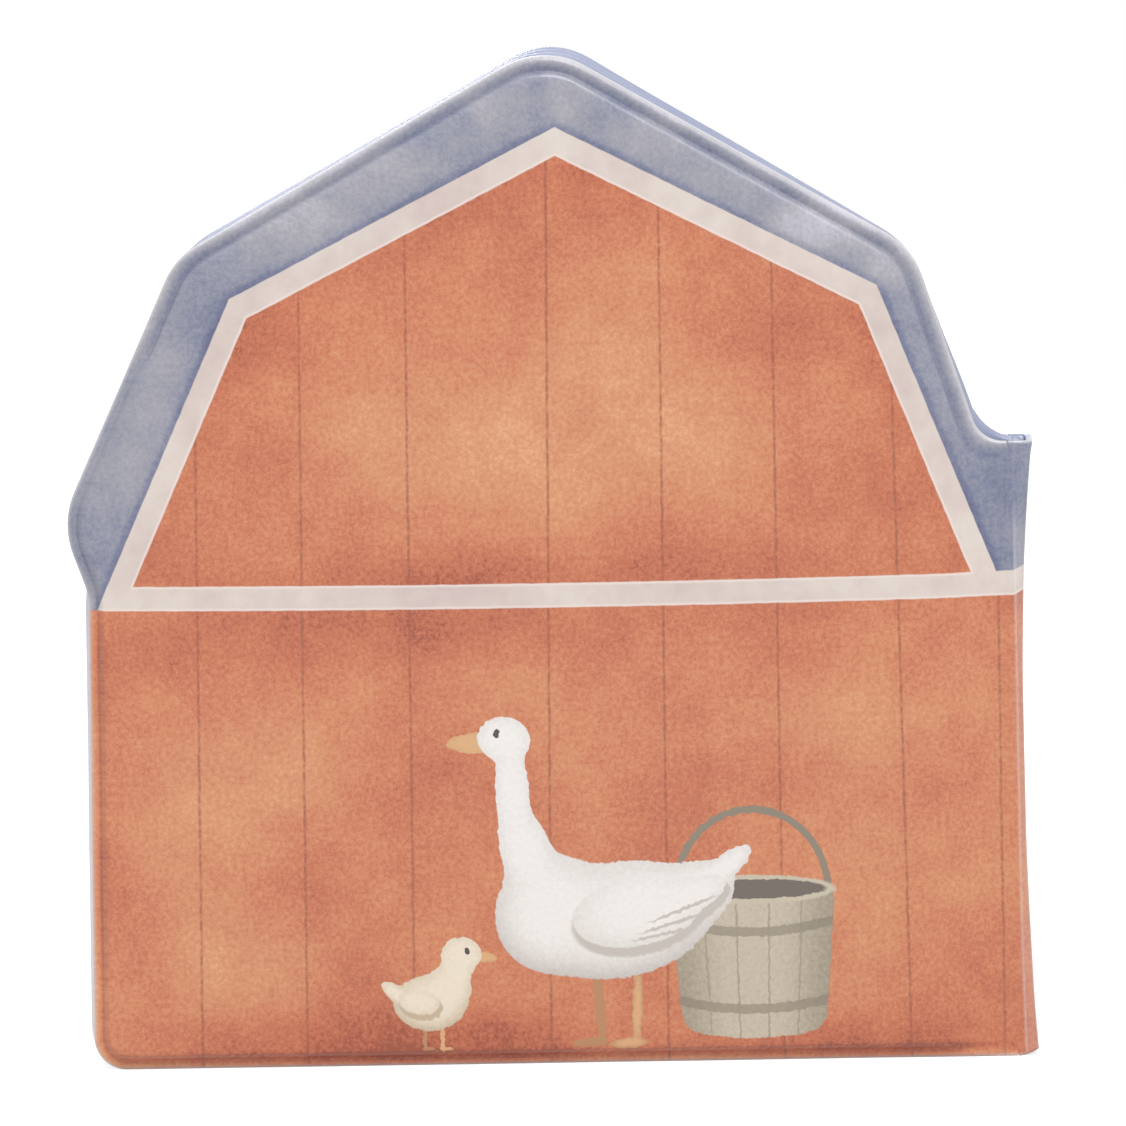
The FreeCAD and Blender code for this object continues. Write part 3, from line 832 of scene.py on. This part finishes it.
def makeLeafMesh(plane, sides, spacing, edgeX):
    # grid of rings and columns, with each side's height at its points; both sides share the
    # outermost ring and each has its own pole; also tells each face's side and middle, and each
    # point's inset
    corners = leaf["corners"].copy()
    corners[1:3, 0] = edgeX
    rings, crease = insetRings(corners, leaf["insets"], leaf["weld"], spacing, leaf["arcSteps"])
    inset = np.array(leaf["insets"])[:, None] * np.ones(rings.shape[1])
    shrink = np.arange(1, leaf["innerRings"]) / leaf["innerRings"]
    shrink = 1 - shrink ** leaf["innerPower"]
    centre = np.array(leaf["centre"])
    inner = centre + shrink[:, None, None] * (rings[-1] - centre)
    grid = np.concatenate((rings, inner))
    inset = np.concatenate((inset, np.full(inner.shape[:2], leaf["innerInset"])))
    x, z = grid[..., 0], grid[..., 1]
    d = np.where(crease[None], np.maximum(np.minimum(z, tabTop - z), 0), inset)
    apart = fromCrease(x, z)
    seed = 5 + int(plane * 10) % 7  # each leaf has its own waves
    wander = (leaf["wander"] * ripple(x, z, seed, *leaf["wanders"])
              * ease(1 - d / leaf["wanderWidth"]) * ease(apart / leaf["wanderFrom"]))
    rows, columns = x.shape
    points = [np.stack((x[0], np.full(columns, plane) + wander[0], z[0]), 1)]
    edge = [d[0]]
    blocks, slots = [], []
    start = columns
    index = np.arange(columns)
    following = np.roll(index, -1)
    for number, (facing, settings) in enumerate(sides):
        y = plane + wander + facing * sideHeight(x, z, d, settings)
        points += [np.stack((x, y, z), 2)[1:].reshape(-1, 3),
                   np.array([[centre[0], plane + facing * settings["top"], centre[1]]])]
        edge += [d[1:].ravel(), d[-1:, 0]]
        own = start + np.arange((rows - 1) * columns).reshape(rows - 1, columns)
        ring = np.concatenate((index[None], own))
        a, b = ring[:-1], ring[:-1][:, following]
        c, e = ring[1:][:, following], ring[1:]
        quads = np.stack((a, b, c, e), 2).reshape(-1, 4)
        last = ring[-1]
        pole = start + (rows - 1) * columns
        fan = np.stack((last, last[following], np.full(columns, pole)), 1)
        if facing > 0:
            quads, fan = quads[:, ::-1], fan[:, ::-1]
        blocks += [quads, fan]
        slots.append(np.full(len(quads) + columns, number))
        start = pole + 1
    points = np.concatenate(points)
    faces = [f for block in blocks for f in block.tolist()]
    middles = np.concatenate([points[block].mean(1) for block in blocks])
    return points, faces, np.concatenate(slots), middles, np.concatenate(edge)


# a leaf's side: height of its foam, of its waves and puckers; from the crease, where the foam
# begins and over what it thickens; and the film's height at the crease
outerSide = {"top": padHalf, "wave": 0.08, "pucker": 0.06, "flat": 3.6, "thin": 9.0,
             "creaseHeight": 0.45, "seed": 11}
innerSide = {"top": padHalf - 0.03, "wave": 0.03, "pucker": 0.02, "flat": 0.0, "thin": 2.0,
             "creaseHeight": 0.25, "seed": 23}

stack = {
    # the rear leaves lie shifted against the back cover: across at these heights, on the left
    # and on the right, and up at these places across
    "heights": (0.0, 45.0, 70.0, 95.0, 111.0, 126.0, 142.0, 157.0),
    "left": (-1.9, -1.94, -1.99, -0.3, 0.3, 0.9, 0.95, 1.8),
    "right": (0.2, 0.27, 0.4, 0.62, -0.2, -0.7, -0.43, -0.93),
    "places": (-75.0, -55.0, -28.0, 1.6, 30.0, 57.0, 72.0),
    "up": (0.77, 1.23, 0.99, 0.92, 0.49, -0.11, 0.06),
    "leftTo": -35.0,  # from left to right it changes from here over this
    "over": 70.0,
    "footFade": 60.0,
    "spineFade": 12.0,  # held by the spine within this, and farther above it by this share
    "aboveShare": 0.6,
}


def lieInStack(points, share):
    # straight runs between the measured shifts, fading to nothing at the spine and, for the
    # upward ones, at the foot
    x, z = points[:, 0], points[:, 2]
    above = np.maximum(z - tabTop, 0) * stack["aboveShare"]
    apart = np.hypot(np.maximum(creaseX - x, 0), above)
    hold = ease(apart / stack["spineFade"]) * share
    left, right = (np.interp(z, stack["heights"], stack[side]) for side in ("left", "right"))
    points = points.copy()
    points[:, 0] += hold * (left + (right - left) * ease((x - stack["leftTo"]) / stack["over"]))
    points[:, 2] += hold * np.interp(x, stack["places"], stack["up"]) * ease(z / stack["footFade"])
    return points


pictureArea = (-34.0, 50.0, 62.0)  # the small picture reaches from left to right and up to here
wallArea = 67.0  # below this the print is wall only


def makeCover(name, body, plane, sides, share, pictured):
    # one leaf, with a material for each area of its print, its print's tone, a painted highlight on
    # its bead and painted shade in its groove; it takes this share of the stack's shift
    points, faces, slots, middles, edge = makeLeafMesh(
        plane, sides, leaf["spacing"], creaseX - creaseGap)
    outer = slots == (0 if plane < 0 else 1)
    low = outer & (middles[:, 2] < wallArea)
    slots = np.where(outer, np.where(low, 1, 0), 2)  # barn, wall, and the inner side's meadow
    tone = toneAt(points)
    eave = ease((points[:, 2] - lower["top"]) / lower["fade"])
    eave = lowerShare(points[:, 0], points[:, 2]) * eave
    # painted highlight on the bead's crest, left off the walls, the bottom and the left eave
    strength, start, fade = leaf["beadHighlight"]
    tone += strength * (1 - eave) * (1 - ease((edge - start) / fade))
    # painted shade in the groove before the foam, left off the walls, the bottom and the left eave
    strength, middle, width = leaf["grooveShade"]
    tone += strength * (1 - eave) * np.exp(-((edge - middle) / width) ** 2)
    if pictured:
        left, right, high = pictureArea
        slots[low & (middles[:, 0] > left) & (middles[:, 0] < right) & (middles[:, 2] < high)] = 3
    films = (barnPrinted, wallPrinted, meadowPrinted, picturePrinted)[:4 if pictured else 3]
    item = newPiece(name, lieInStack(points, share), faces, films, slots,
                    {"tone": tone, "edge": edge})
    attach(item, body)
    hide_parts(body)


makeCover("backCoverPad", "back_cover", -coverPlane, ((-1, outerSide), (1, innerSide)),
          share=0.0, pictured=True)
makeCover("frontCoverPad", "front_cover", coverPlane, ((-1, innerSide), (1, outerSide)),
          share=1.0, pictured=False)
print("covers made")

# the two inner leaves and the fold that joins them

gutter = {
    "edge": 70.9,  # where the leaves end
    "root": 70.0,  # where the fold begins, its face and the radius of its turns
    "face": 71.5,
    "turn": 0.8,
    "arcSteps": 8,
    "run": 0.25,  # spacing along the fold and up it
    "rows": 2.5,
    "spacing": 2.0,  # of the leaves' columns
    "leaves": ((-pagePlane, 0.35), (pagePlane, 0.7)),  # plane, and share of the stack's shift
    "bowFrom": 58.0,  # from here across the leaves follow the spine's bow
    "bowFade": 6.0,  # and up to this above the tab
}


def roundedPath(corners, radius, steps):
    # open path in plan: straight legs, and at each inner corner an arc tangent to both legs
    corners = np.asarray(corners, float)
    parts = [corners[:1]]
    for i in range(1, len(corners) - 1):
        into = corners[i] - corners[i - 1]
        out = corners[i + 1] - corners[i]
        into, out = into / np.linalg.norm(into), out / np.linalg.norm(out)
        turn = math.atan2(into[0] * out[1] - into[1] * out[0], into @ out)
        start = corners[i] - into * radius * math.tan(abs(turn) / 2)
        spoke = -radius * np.sign(turn) * np.array((-into[1], into[0]))
        parts.append(start - spoke + swing(spoke, turn * np.linspace(0, 1, steps)))
    parts.append(corners[-1:])
    return np.concatenate(parts)


def refine(path, spacing):
    # the same path with points about evenly spaced
    step = np.linalg.norm(np.diff(path, axis=0), axis=1)
    run = np.concatenate(([0], np.cumsum(step)))
    at = np.linspace(0, run[-1], max(2, int(run[-1] / spacing)))
    return np.stack((np.interp(at, run, path[:, 0]), np.interp(at, run, path[:, 1])), 1)


def wrapFilm(path, heights, half):
    # closed sheet: the plan path carried up through the heights, offset to both sides of the
    # path by a half thickness for each height, with its four edges closed; also tells which
    # faces are on the inner side
    along = np.gradient(path, axis=0)
    along /= np.linalg.norm(along, axis=1)[:, None]
    normal = np.stack((along[:, 1], -along[:, 0]), 1)
    count, rows = len(path), len(heights)
    outer = path[None] + normal[None] * half[:, None, None]
    inner = path[None] - normal[None] * half[:, None, None]
    loop = np.concatenate((outer, inner[:, ::-1]), 1)
    level = np.broadcast_to(heights[:, None, None], loop.shape[:2] + (1,))
    points = np.concatenate((loop, level), 2)
    ring = np.arange(rows * 2 * count).reshape(rows, 2 * count)
    following = np.roll(ring, -1, 1)
    quads = np.stack((ring[:-1], following[:-1], following[1:], ring[1:]), 2).reshape(-1, 4)
    back = ring[:, ::-1]
    last = count - 1
    low = np.stack((ring[0, 1:count], ring[0, :last], back[0, :last], back[0, 1:count]), 1)
    high = np.stack((ring[-1, :last], ring[-1, 1:count], back[-1, 1:count], back[-1, :last]), 1)
    onInner = np.arange(len(quads)) % (2 * count) >= count
    onInner = np.concatenate((onInner, np.zeros(len(low) + len(high), bool)))
    return points.reshape(-1, 3), np.concatenate((quads, low, high)).tolist(), onInner


filmEdge = {
    "film": 0.22,  # half thickness of the wrapped films
    "bead": 0.3,  # and of their rolled edges, which crest at this inset
    "crest": 0.45,
    "least": 0.02,
    # rows this far from each end, then evenly spaced ones from here on
    "ends": (0.0, 0.03, 0.08, 0.16, 0.26, 0.38, 0.5, 0.65, 0.85, 1.05, 1.3, 1.6, 1.95),
    "endsTo": 2.6,
}


def filmHeights(spacing):
    # heights up the spine that crowd at both ends, where the film's edge is rolled
    ends = np.array(filmEdge["ends"])
    middle = np.linspace(filmEdge["endsTo"], tabTop - filmEdge["endsTo"], int(tabTop / spacing))
    return np.concatenate((ends, middle, (tabTop - ends)[::-1]))


def filmHalf(heights):
    # half thickness by the distance to the nearer end: a bead, then the plain film
    d = np.minimum(heights, tabTop - heights)
    half = weldHeight(d, filmEdge["bead"], filmEdge["crest"], filmEdge["film"])
    return np.maximum(half, filmEdge["least"])


def wrapAcross(root, face, plane, settings):
    # film that is carried across the book as a U in plan, from root out to face and back
    corners = ((root, -plane), (face, -plane), (face, plane), (root, plane))
    path = refine(roundedPath(corners, settings["turn"], settings["arcSteps"]), settings["run"])
    heights = filmHeights(settings["rows"])
    return wrapFilm(path, heights, filmHalf(heights))


spine = {
    "plane": coverPlane + 0.23,  # middle of the film beside the creases
    "face": 72.8,  # middle of the film across the spine
    "turn": 1.15,
    "arcSteps": 16,
    "run": 0.12,  # spacing along the film and up it
    "rows": 1.2,
    "bowTop": (2.05, 50.0, 2.6),  # the face stands out by this, from this height, to this power
    "bowFoot": (1.35, 45.0, 2.0),
    "ripple": 0.06,
    "waves": (31, 9, 30),  # seed, shortest and longest
    "sideReach": 0.6,  # film this near to its plane lies on the book's side
    "rollFrom": 0.9,  # from the crease, where the ends are fully rolled
    "lift": 0.8,  # the film's lower edge rises towards its face, by this power, up to this height
    "liftPower": 1.5,
    "liftTo": 12.0,
    "ridge": 0.8,  # from the crease to the painted highlight line where the film turns
    "ridgeWidth": 0.28,
    "ridgeBow": 0.35,  # share of the bow that it follows below this height
    "ridgeFrom": 50.0,
    "ridgeHighlight": 0.75,
    "faceSheen": 0.4,  # share of its strength beyond it, as painted sheen on the turned face
    "sheenSide": 3.0,  # it is on the film farther out than this from the book's middle
    "roofFade": 0.65,  # how much of it is lost over the roof, from this height over this
    "roofFrom": 76.0,
    "roofOver": 12.0,
    "sheenMark": (0.02, 0.7, 0.5),  # least painted highlight, its edge mark, and how much more lowers it
}
plainMark = 9.0  # edge mark of film that gets no painted highlight


def bowOut(z):
    # the spine's face stands out towards both ends as a power of the height beyond a level
    size, start, power = spine["bowTop"]
    top = size * np.clip((z - start) / (tabTop - start), 0, 1) ** power
    size, start, power = spine["bowFoot"]
    return top + size * np.clip((start - z) / start, 0, 1) ** power


def makePages():
    # two leaves and the fold between them as one piece, bowed out with the spine beside it
    parts, faces, slots, edges, start = [], [], [], [], 0
    for plane, share in gutter["leaves"]:
        points, leafFaces, sides, _, edge = makeLeafMesh(
            plane, ((-1, innerSide), (1, innerSide)), gutter["spacing"], gutter["edge"])
        parts.append(lieInStack(points, share))
        faces += [[i + start for i in f] for f in leafFaces]
        slots.append(sides if plane < 0 else 1 - sides)
        edges.append(edge)
        start += len(points)
    points, foldFaces, _ = wrapAcross(gutter["root"], gutter["face"], pagePlane, gutter)
    parts.append(points)
    faces += [[i + start for i in f] for f in foldFaces]
    slots.append(np.ones(len(foldFaces), int))
    edges.append(np.minimum(points[:, 2], tabTop - points[:, 2]))
    points = np.concatenate(parts)
    start, fade = gutter["bowFrom"], gutter["bowFade"]
    near = ease((points[:, 0] - start) / (gutter["face"] - start))
    points[:, 0] += near * ease((tabTop + fade - points[:, 2]) / fade) * bowOut(points[:, 2])
    item = newPiece("pageLeaves", points, faces, (strawPrinted, meadowPrinted),
                    np.concatenate(slots), {"edge": np.concatenate(edges)})
    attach(item, "block")
    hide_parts("pages")


makePages()
print("pages made")

# the spine's film, wrapped from crease to crease


def makeSpine():
    # a U in plan carried up the spine; its face stands out towards both ends
    face, plane, start = spine["face"], spine["plane"], creaseX + creaseGap
    points, faces, inner = wrapAcross(start, face, plane, spine)
    x, y, z = points.T
    # beside the crease the rolled ends flatten into the plain film
    off = np.abs(y) - plane
    level = np.clip(off, -filmEdge["film"], filmEdge["film"])
    flat = np.sign(y) * (plane + level + (off - level) * ease((x - start) / spine["rollFrom"]))
    y = np.where(np.abs(off) < spine["sideReach"], flat, y)
    points[:, 1] = y
    reach = np.clip((x - start) / (face - start), 0, 1)
    bow = bowOut(z)
    points[:, 0] = x + reach * (bow + spine["ripple"] * ripple(y, z, *spine["waves"]))
    points[:, 2] += spine["lift"] * reach ** spine["liftPower"] * (1 - ease(z / spine["liftTo"]))
    # a painted highlight where the film turns, and weaker painted sheen beyond it, carried by the
    # edge mark
    ridgeShift = spine["ridgeBow"] * bow * ease((spine["ridgeFrom"] - z) / spine["ridgeFrom"])
    away = (points[:, 0] - creaseX - spine["ridge"] - ridgeShift) / spine["ridgeWidth"]
    highlight = np.maximum(spine["ridgeHighlight"] * np.exp(-away ** 2), spine["faceSheen"] * ease(away))
    highlight = highlight * (np.abs(y) > spine["sheenSide"])
    highlight = highlight * (1 - spine["roofFade"] * ease((z - spine["roofFrom"]) / spine["roofOver"]))
    least, palest, drop = spine["sheenMark"]
    edge = np.minimum(np.minimum(z, tabTop - z),
                      np.where(highlight > least, palest - drop * highlight, plainMark))
    item = newPiece("spineWrap", points, faces, (barnPrinted, meadowPrinted), inner,
                    {"tone": toneAt(points), "edge": edge})
    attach(item, "block")
    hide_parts("spine")


makeSpine()

# thin film strip that lies across each crease, between a cover and the spine

hinge = {
    "toCover": 0.75,  # it reaches this far from the crease
    "toSpine": 0.4,
    "offset": 0.41,  # it lies this much farther out than the cover's middle plane
    "dip": 0.16,  # its edges dip under the films beside it, and its ends dip too
    "dipWidth": 0.28,
    "endWidth": 0.8,
    "half": 0.07,  # half thickness
    "margin": 0.3,  # it stops this far from the film's ends
    "rows": 90,
    "columns": 24,
}


def makeCrease(name, side):
    # a straight strip across the crease, carried up to the film's ends; rows crowd there
    run = tabTop - 2 * hinge["margin"]
    heights = hinge["margin"] + run * ease(np.linspace(0, 1, hinge["rows"]))
    plane = side * (coverPlane + hinge["offset"])
    x = np.linspace(creaseX - hinge["toCover"], creaseX + hinge["toSpine"], hinge["columns"])
    depth = hinge["dip"] * (1 - ease(np.minimum(x - x[0], x[-1] - x) / hinge["dipWidth"]))
    path = np.stack((x, plane - side * depth), 1)
    points, faces, _ = wrapFilm(path[::-side], heights, np.full(len(heights), hinge["half"]))
    ends = np.minimum(points[:, 2] - heights[0], heights[-1] - points[:, 2])
    points[:, 1] -= side * hinge["dip"] * (1 - ease(ends / hinge["endWidth"]))
    marks = {"tone": toneAt(points), "edge": np.full(len(points), plainMark)}
    strip = newPiece(name, points, faces, (barnPrinted,), marks=marks)
    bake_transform(strip)


makeCrease("creaseBack", -1)
makeCrease("creaseFront", 1)
print("spine made")


# floor, light and world

stage = {
    "floor": 3.0,  # half width in metres
    "floorPaint": paint(205, 205, 205),
    "floorGlow": 0.74,  # added only for what the camera sees directly
    "world": 0.42,
    "aim": (0, 0, 0.07),  # the lights face this point
    "lights": (  # name, place, size and power
        ("key", (0.3, -1.2, 2.0), 1.4, 41.5),
        ("back", (-0.6, 1.4, 1.6), 0.9, 18.0),
    ),
}


def seenDirectly(tree):
    # 1 for camera rays and for what mirrors and clear things show, otherwise 0
    paths = node(tree, "LightPath")
    seen = calc(tree, "MAXIMUM", paths.outputs["Is Camera Ray"], paths.outputs["Is Glossy Ray"])
    return calc(tree, "MAXIMUM", seen, paths.outputs["Is Transmission Ray"])


def makeFloor():
    # diffuse paint, with a glow that is seen but lights nothing
    material = newMaterial("floorPaint")
    tree = material.node_tree
    plain = node(tree, "BsdfDiffuse", {"Color": stage["floorPaint"]})
    glow = node(tree, "Emission", {"Color": (1, 1, 1, 1), "Strength": calc(
        tree, "MULTIPLY", seenDirectly(tree), stage["floorGlow"])})
    total = node(tree, "AddShader", {0: plain.outputs[0], 1: glow.outputs[0]})
    node(tree, "OutputMaterial", {0: total.outputs[0]})
    half = stage["floor"] / mm
    corners = np.array(((-half, -half, 0), (half, -half, 0), (half, half, 0), (-half, half, 0)))
    newPiece("floor", corners, [(0, 1, 2, 3)], (material,))


def makeLight(name, place, size, power):
    # round area light that faces the aim
    data = bpy.data.lights.new(name, "AREA")
    data.shape = "DISK"
    data.size = size
    data.energy = power
    item = bpy.data.objects.new(name, data)
    bpy.context.collection.objects.link(item)
    item.location = place
    aim = Vector(stage["aim"]) - Vector(place)
    item.rotation_euler = aim.to_track_quat("-Z", "Y").to_euler()


def makeWorld():
    # even light, seen as plain white
    world = bpy.data.worlds.new("studio")
    bpy.context.scene.world = world
    world.use_nodes = True
    tree = world.node_tree
    tree.nodes.clear()
    strength = calc(tree, "MULTIPLY_ADD", seenDirectly(tree), 1.0 - stage["world"], stage["world"])
    light = node(tree, "Background", {"Color": (1, 1, 1, 1), "Strength": strength})
    node(tree, "OutputWorld", {0: light.outputs[0]})


makeFloor()
for light in stage["lights"]:
    makeLight(*light)
makeWorld()
bpy.context.scene.view_settings.view_transform = "Standard"
print("stage lit")
